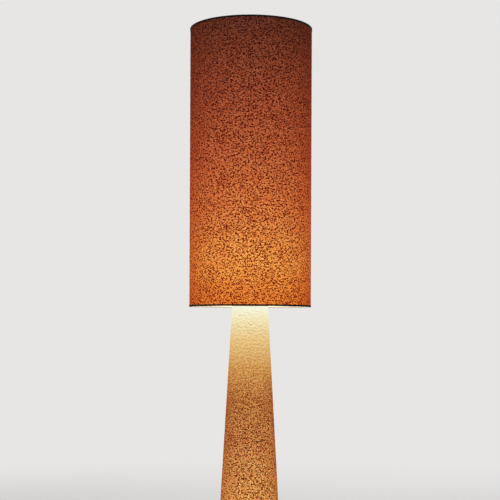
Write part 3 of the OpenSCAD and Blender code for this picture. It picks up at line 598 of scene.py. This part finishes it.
def make_boucle_group():
    """The cloth's pattern on its own UV map, in metres. Thickness is over 0 where a slub blocks the light and
    under 0 in the loose places between. The ridge output is painted shade and highlight on the cross ridges,
    as if lit from above: over 0 and darker on a ridge's lower side, under 0 and lighter on its upper."""
    tree = bpy.data.node_groups.new("boucle", "ShaderNodeTree")
    tree.interface.new_socket("Place", in_out="INPUT", socket_type="NodeSocketVector")
    for name in ("Slub Cell", "Slub Amount", "Fine Cell"):
        tree.interface.new_socket(name, in_out="INPUT", socket_type="NodeSocketFloat")
    for name in ("Thickness", "Ridge Shade", "Height"):
        tree.interface.new_socket(name, in_out="OUTPUT", socket_type="NodeSocketFloat")
    given = put(tree, "NodeGroupInput")
    place = out(given, "Place")

    def scaled(vector, by):
        return out(put(tree, "ShaderNodeVectorMath", {0: vector, 1: by}, operation="MULTIPLY"))

    def moved(vector, by):
        return out(put(tree, "ShaderNodeVectorMath", {0: vector, 1: by}, operation="ADD"))

    def noise(vector, detail):
        made = put(tree, "ShaderNodeTexNoise", {"Vector": vector, "Scale": 1.0, "Detail": detail})
        return calc(tree, "SUBTRACT", out(made), 0.5)

    def bent(length, reach):
        """The place, pushed aside in waves of this length by up to about half this reach."""
        waves = put(tree, "ShaderNodeTexNoise", {
            "Vector": scaled(place, (1 / length, 1 / length, 0)), "Scale": 1.0, "Detail": 1.0})
        push = moved(out(waves, "Color"), (-0.5, -0.5, -0.5))
        return moved(place, scaled(push, (reach, reach, 0)))

    crooked = bent(*CROOK)

    def dashes(shift, cell_share):
        """Short dashes, at most one in each cell, each with a halo of thinner ground round it. Most of them
        lie along the cloth and the others stand."""
        cell = calc(tree, "MULTIPLY", out(given, "Slub Cell"), cell_share)
        per_metre = calc(tree, "DIVIDE", 1.0, cell)
        units = out(put(tree, "ShaderNodeVectorMath", {0: moved(crooked, shift), "Scale": per_metre},
                        operation="SCALE"))
        cells = put(tree, "ShaderNodeTexVoronoi", {"Vector": units, "Scale": 1.0},
                    voronoi_dimensions="2D", feature="F1")
        chance = put(tree, "ShaderNodeSeparateColor", {0: out(cells, "Color")})
        offset = put(tree, "ShaderNodeVectorMath", {0: units, 1: out(cells, "Position")},
                     operation="SUBTRACT")
        stands = calc(tree, "GREATER_THAN", out(chance, "Red"), LYING_SHARE)
        sway = calc(tree, "MULTIPLY", calc(tree, "SUBTRACT", out(chance, "Green"), 0.5), SWAY)
        turn = calc(tree, "ADD", calc(tree, "MULTIPLY", stands, math.pi / 2), sway)
        turned = put(tree, "ShaderNodeVectorRotate", {"Vector": out(offset), "Angle": turn},
                     rotation_type="Z_AXIS")
        drawn = scaled(out(turned), DASH_SLIMNESS)
        away = out(put(tree, "ShaderNodeVectorMath", {0: drawn}, operation="LENGTH"), "Value")
        there = calc(tree, "GREATER_THAN", out(given, "Slub Amount"), out(chance, "Blue"))
        core, halo = (
            out(put(tree, "ShaderNodeMapRange", {"Value": away, "From Min": outside, "From Max": inside}))
            for outside, inside in (CORE_RIM, HALO_RIM))
        halo = calc(tree, "SUBTRACT", halo, core)
        return calc(tree, "MULTIPLY", core, there), calc(tree, "MULTIPLY", halo, there)

    big_core, big_halo = dashes((0, 0, 0), 1.0)
    small_core, small_halo = dashes((0.31, 0.17, 0), SMALL_DASH)
    dark = calc(tree, "MAXIMUM", big_core, small_core)
    thin = calc(tree, "ADD", big_halo, small_halo)
    per_metre = calc(tree, "DIVIDE", 1.0, out(given, "Fine Cell"))
    near = put(tree, "ShaderNodeVectorMath", {0: scaled(place, FINE_STRETCH), "Scale": per_metre},
               operation="SCALE")
    fine = noise(out(near), 3.0)
    broad = noise(scaled(place, BROAD_SCALE), 2.0)
    thickness = calc(tree, "MULTIPLY", dark, DASH_THICKNESS)
    thickness = calc(tree, "SUBTRACT", thickness, calc(tree, "MULTIPLY", thin, HALO_THINNESS))
    thickness = calc(tree, "ADD", thickness, calc(tree, "MULTIPLY", fine, FINE_THICKNESS))
    thickness = calc(tree, "ADD", thickness, calc(tree, "MULTIPLY", broad, BROAD_THICKNESS))
    thickness = calc(tree, "SUBTRACT", thickness, LOOSENESS)

    rippled = bent(*RIPPLE)

    def ridges(step):
        """The height of the cloth's cross ridges, a little way up or down the cloth."""
        return noise(scaled(moved(rippled, (0, step, 0)), RIDGE_SCALE), 0.0)

    # Painted shade and highlight: a ridge's lower side comes out darker and its upper lighter, as if lit from
    # above.
    relief = calc(tree, "SUBTRACT", ridges(RIDGE_STEP), ridges(-RIDGE_STEP))
    sharper = calc(tree, "MULTIPLY", calc(tree, "MULTIPLY", relief, relief), RIDGE_SHARPNESS)
    relief = calc(tree, "ADD", relief, sharper)
    height = calc(tree, "ADD", calc(tree, "MULTIPLY", dark, 0.5), fine)
    put(tree, "NodeGroupOutput", {"Thickness": thickness, "Ridge Shade": relief, "Height": height})
    return tree


BOUCLE = make_boucle_group()
YARN_PASSES = (0.77, 0.51, 0.42)  # red, green and blue light through one thickness of yarn
YARN_DEPTH = 0.8  # how deep in the yarn the light that it reflects has been
LOOSE_YARN = (0.087, 0.016, 0.005)  # what loose yarn reflects, over what the tightest does
TIGHT_YARN = (0.005, 0.003, 0.0025)
YARN_BUMP = 0.0006
EDGE_SHADE_FALL = 1.4


def make_boucle(name, node, glow, contrast, relief, rim):
    """Boucle whose glow is the light behind it, painted in as emission. Each list goes from the node's low
    edge to its high one. glow is the light that comes through. contrast says how much the yarn's thickness
    changes it, relief how strongly the ridges' painted shade and highlight show, and rim how much painted
    shade darkens the glow where the cloth is seen edge on."""
    made, tree, output = new_material(name)
    place = put(tree, "ShaderNodeTexCoord")
    share = height_share(tree, out(place, "Object"), node)
    cloth = put(tree, "ShaderNodeGroup", {}, node_tree=BOUCLE)
    cloth.inputs["Slub Cell"].default_value = DASH_CELL
    cloth.inputs["Slub Amount"].default_value = DASH_AMOUNT
    cloth.inputs["Fine Cell"].default_value = FINE_CELL
    tree.links.new(out(place, "UV"), cloth.inputs["Place"])
    # Painted shade: the more the cloth is turned edge on, the more the rim ramp darkens and reddens its glow.
    edge_on = out(put(tree, "ShaderNodeLayerWeight", {"Blend": 0.5}), "Facing")
    edge_on = calc(tree, "POWER", edge_on, EDGE_SHADE_FALL)

    # Thick yarn takes out blue and green before red, so the light that it passes is redder as well as weaker.
    thick = calc(tree, "MULTIPLY", out(cloth, "Thickness"), ramp(tree, share, contrast))
    # Painted shade and highlight on the cross ridges, as if lit from above, as strong as the relief ramp
    # says.
    painted_ridge_shade = calc(tree, "MULTIPLY", out(cloth, "Ridge Shade"), ramp(tree, share, relief))
    whole = calc(tree, "ADD", thick, painted_ridge_shade)
    seen = calc(tree, "ADD", whole, calc(tree, "MULTIPLY", edge_on, ramp(tree, share, rim)))

    def passed(depth):
        parts = [calc(tree, "POWER", base, depth) for base in YARN_PASSES]
        return out(put(tree, "ShaderNodeCombineColor", dict(enumerate(parts))))

    light = out(put(tree, "ShaderNodeVectorMath", {0: ramp(tree, share, glow), 1: passed(seen)},
                    operation="MULTIPLY"))
    own = calc(tree, "MAXIMUM", calc(tree, "MULTIPLY", out(cloth, "Thickness"), YARN_DEPTH), 0.0)
    yarn = put(tree, "ShaderNodeVectorMath", {0: passed(own), 1: LOOSE_YARN, 2: TIGHT_YARN},
               operation="MULTIPLY_ADD")
    bump = put(tree, "ShaderNodeBump", {
        "Height": out(cloth, "Height"), "Distance": YARN_BUMP, "Strength": 0.7})
    shader = put(tree, "ShaderNodeBsdfPrincipled", {
        "Base Color": out(yarn), "Roughness": 0.95, "Specular IOR Level": 0.02, "Normal": out(bump),
        "Emission Color": light, "Emission Strength": 1.0})
    tree.links.new(out(shader), output.inputs["Surface"])
    return made


def wrap(node, material, seam_angle, seed):
    """The fabric in place of a plain node: its radii and heights are the node's own."""
    low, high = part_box(node)
    spots = [v.co for v in frame["nodes"][node].data.vertices]
    bottom = max(v.xy.length for v in spots if v.z < low.z + NEAR)
    top = max(v.xy.length for v in spots if v.z > high.z - NEAR)
    piece = grown(node + "_boucle", bpy.data.meshes.new(node + "_start"), WRAPPED_CLOTH, material,
                  Bottom_Radius=bottom, Top_Radius=top, Bottom_Height=low.z, Top_Height=high.z,
                  Seam_Angle=seam_angle, Lap_Width=LAP_WIDTH, Lap_Rise=LAP_RISE, Cloth=CLOTH, Cell=CELL,
                  Slub_Length=SLUB_LENGTH, Slub_Width=SLUB_WIDTH, Slub_Height=SLUB_HEIGHT, Seed=seed)
    close(piece)
    stands_for(piece, node)
    return piece, bottom, top, high.z - low.z


# The glow low down is the lower bulb's light through the cloth. At the head it is painted light that falls on
# the cloth from the shade above: pale cream, with the pattern's contrast faded out and the ridges' painted
# shade strongest. rim is painted shade where the cloth is seen edge on.
COLUMN_BOUCLE = make_boucle(
    "column_boucle", "column_fabric",
    glow=[(0.0, (0.53, 0.175, 0.036)), (0.29, (0.547, 0.163, 0.032)), (0.50, (0.421, 0.109, 0.023)),
          (0.64, (0.404, 0.137, 0.030)), (0.76, (0.581, 0.328, 0.091)), (0.86, (0.745, 0.560, 0.231)),
          (0.93, (0.819, 0.795, 0.478)), (0.97, (0.840, 0.916, 0.708)), (1.0, (0.880, 0.931, 0.731))],
    contrast=[(0.0, 1.15), (0.50, 1.15), (0.61, 0.85), (0.71, 0.33), (0.80, 0.06), (1.0, 0.0)],
    relief=[(0.0, 0.0), (0.45, 0.5), (0.64, 1.8), (0.80, 1.4), (1.0, 0.6)],
    rim=[(0.0, 1.3), (0.64, 1.0), (0.78, 0.1), (1.0, 0.0)])
column_cloth, bottom, top, tall = wrap("column_fabric", COLUMN_BOUCLE, math.radians(70), 3.0)

# ---- Column's bindings and cord outlet ----
# Narrow black grosgrain tape, folded over the cover's edges, with a rib every 1.6 mm. The cord leaves through
# a moulded rubber bush at the back.
RIB = 0.0016
RIB_RISE = 0.00012
SOFTNESS = 0.45  # how far the tape's corners are rounded, in thicknesses
TAPE = grained("black_tape", (0.003, 0.0025, 0.002), (0.008, 0.006, 0.005), 0.5, (0.8, 0.95), 0.05,
               Specular_IOR_Level=0.1)
RUBBER = grained("black_rubber", (0.010, 0.010, 0.010), (0.020, 0.020, 0.020), 1.0, (0.5, 0.65), 0.03)


def make_round_tree():
    """Repeats a slice round the lamp's axis and joins it to its neighbours."""
    tree = bpy.data.node_groups.new("round_the_axis", "GeometryNodeTree")
    tree.interface.new_socket("Geometry", in_out="INPUT", socket_type="NodeSocketGeometry")
    tree.interface.new_socket("Count", in_out="INPUT", socket_type="NodeSocketInt")
    tree.interface.new_socket("Material", in_out="INPUT", socket_type="NodeSocketMaterial")
    tree.interface.new_socket("Geometry", in_out="OUTPUT", socket_type="NodeSocketGeometry")
    given = put(tree, "NodeGroupInput")
    spots = put(tree, "GeometryNodePoints", {"Count": out(given, "Count"), "Position": (0, 0, 0)})
    step = calc(tree, "DIVIDE", 2 * math.pi, out(given, "Count"))
    angle = calc(tree, "MULTIPLY", out(put(tree, "GeometryNodeInputIndex")), step)
    turn = put(tree, "ShaderNodeCombineXYZ", {2: angle})
    copies = put(tree, "GeometryNodeInstanceOnPoints", {
        "Points": out(spots), "Instance": out(given, "Geometry"), "Rotation": out(turn)})
    real = put(tree, "GeometryNodeRealizeInstances", {"Geometry": out(copies)})
    joined = put(tree, "GeometryNodeMergeByDistance", {"Geometry": out(real), "Distance": 2e-6})
    smooth = put(tree, "GeometryNodeSetShadeSmooth", {"Geometry": out(joined)})
    done = put(tree, "GeometryNodeSetMaterial", {"Geometry": out(smooth), "Material": out(given, "Material")})
    put(tree, "NodeGroupOutput", {"Geometry": out(done)})
    return tree


ROUND_THE_AXIS = make_round_tree()


def tape_section(node, up):
    """The tape's section, as (radius, height) points round it: a web on the edge and a flange outside it."""
    low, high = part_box(node)
    edge, lip = (low.z, high.z) if up > 0 else (high.z, low.z)
    spots = [(v.co.xy.length, v.co.z) for v in frame["nodes"][node].data.vertices]
    inner = min(r for r, z in spots)
    foot = max(r for r, z in spots if abs(z - edge) < NEAR)
    rim = max(r for r, z in spots if abs(z - lip) < NEAR)
    thick = min(abs(z - edge) for r, z in spots if abs(z - edge) > NEAR)
    soft = thick * SOFTNESS
    web_below = [(inner, edge + up * soft), (inner + soft, edge), (foot - 2 * soft, edge)]
    corner = [(foot - 0.6 * soft, edge + up * 0.5 * soft), (foot, edge + up * 2 * soft)]
    flange = [(rim, lip - up * soft), (rim - soft, lip), (rim - thick + 0.3 * soft, lip - up * soft)]
    web_above = [(foot - thick, edge + up * thick), (inner + soft, edge + up * thick)]
    return web_below + corner + flange + web_above + [(inner, edge + up * (thick - 0.5 * soft))]


def bind(node, up):
    """Ribbed tape in place of a plain binding."""
    section = tape_section(node, up)
    around = 2 * math.pi * max(r for r, z in section)
    count = int(around / RIB)
    step = 2 * math.pi / count
    middle = Vector((sum(r for r, z in section) / len(section), sum(z for r, z in section) / len(section)))
    work = bmesh.new()
    rings = []
    for share in (0.0, 0.3, 0.7, 1.0):
        rise = RIB_RISE / 2 if 0 < share < 1 else -RIB_RISE / 2
        ring = []
        for r, z in section:
            away = (Vector((r, z)) - middle).normalized() * rise
            reach = Vector((r + away.x, 0, z + away.y))
            ring.append(work.verts.new(Matrix.Rotation(share * step, 3, "Z") @ reach))
        rings.append(ring)
    for first, second in zip(rings, rings[1:]):
        for k in range(len(section)):
            after = (k + 1) % len(section)
            work.faces.new((first[k], first[after], second[after], second[k]))
    mesh = bpy.data.meshes.new(node + "_slice")
    work.to_mesh(mesh)
    work.free()
    piece = grown(node + "_tape", mesh, ROUND_THE_AXIS, TAPE, Count=count)
    close(piece)
    return stands_for(piece, node)


bind("column_bottom_binding", 1)
bind("column_top_binding", -1)
softened("cord_bush", 0.0004, RUBBER, segments=3)

# ---- Upper lampholder ----
# The same lampholder as below, on a threaded nipple that holds down the column's lid. The shade's washer
# rests on its shoulder, under a fluted ring that screws down on it.
softened("upper_lock_nut", 0.0003, ZINC)
finish_holder("upper")
softened("shade_ring", 0.0005, WHITE_PLASTIC, segments=3)

# ---- Upper bulb ----
# A pear-shaped opal bulb on the same screw cap. It stands just above the shade's lower edge, lights the
# shade's fabric from inside and lets light fall on the column's head; that light on both is painted into
# their fabric's glow.
finish_bulb("upper")

# ---- Shade's frame and liner ----
# White coated wire: a hoop at each edge and three arms up to the washer. The liner is the same white film as
# the column's, seen inside the shade from above and below.
softened("shade_carrier", 0.0002, WHITE_COAT, segments=1)
paint("shade_top_hoop", WHITE_COAT)
SHADE_FILM = make_liner(
    "shade_film", "shade_liner",
    glow=[(0.0, (1.25, 1.10, 0.80)), (0.15, (0.46, 0.33, 0.18)), (0.5, (0.16, 0.09, 0.04)),
          (1.0, (0.04, 0.02, 0.01))])
paint("shade_liner", SHADE_FILM)

# ---- Shade's fabric and bindings ----
# The same boucle and tape as on the column. The light behind it is strongest at the bulb's height and fades
# towards the top.
# rim is painted shade on the glow where the cloth is seen edge on.
SHADE_BOUCLE = make_boucle(
    "shade_boucle", "shade_fabric",
    glow=[(0.0, (0.546, 0.098, 0.009)), (0.15, (0.615, 0.159, 0.024)), (0.35, (0.474, 0.087, 0.017)),
          (0.55, (0.316, 0.045, 0.011)), (0.75, (0.175, 0.021, 0.006)), (1.0, (0.019, 0.004, 0.002))],
    contrast=[(0.0, 0.95), (0.5, 1.12), (1.0, 1.55)],
    relief=[(0.0, 0.0), (1.0, 0.0)],
    rim=[(0.0, 1.5), (1.0, 1.8)])
shade_cloth, bottom, top, tall = wrap("shade_fabric", SHADE_BOUCLE, math.radians(90), 11.0)
bind("shade_bottom_binding", 1)
bind("shade_top_binding", -1)
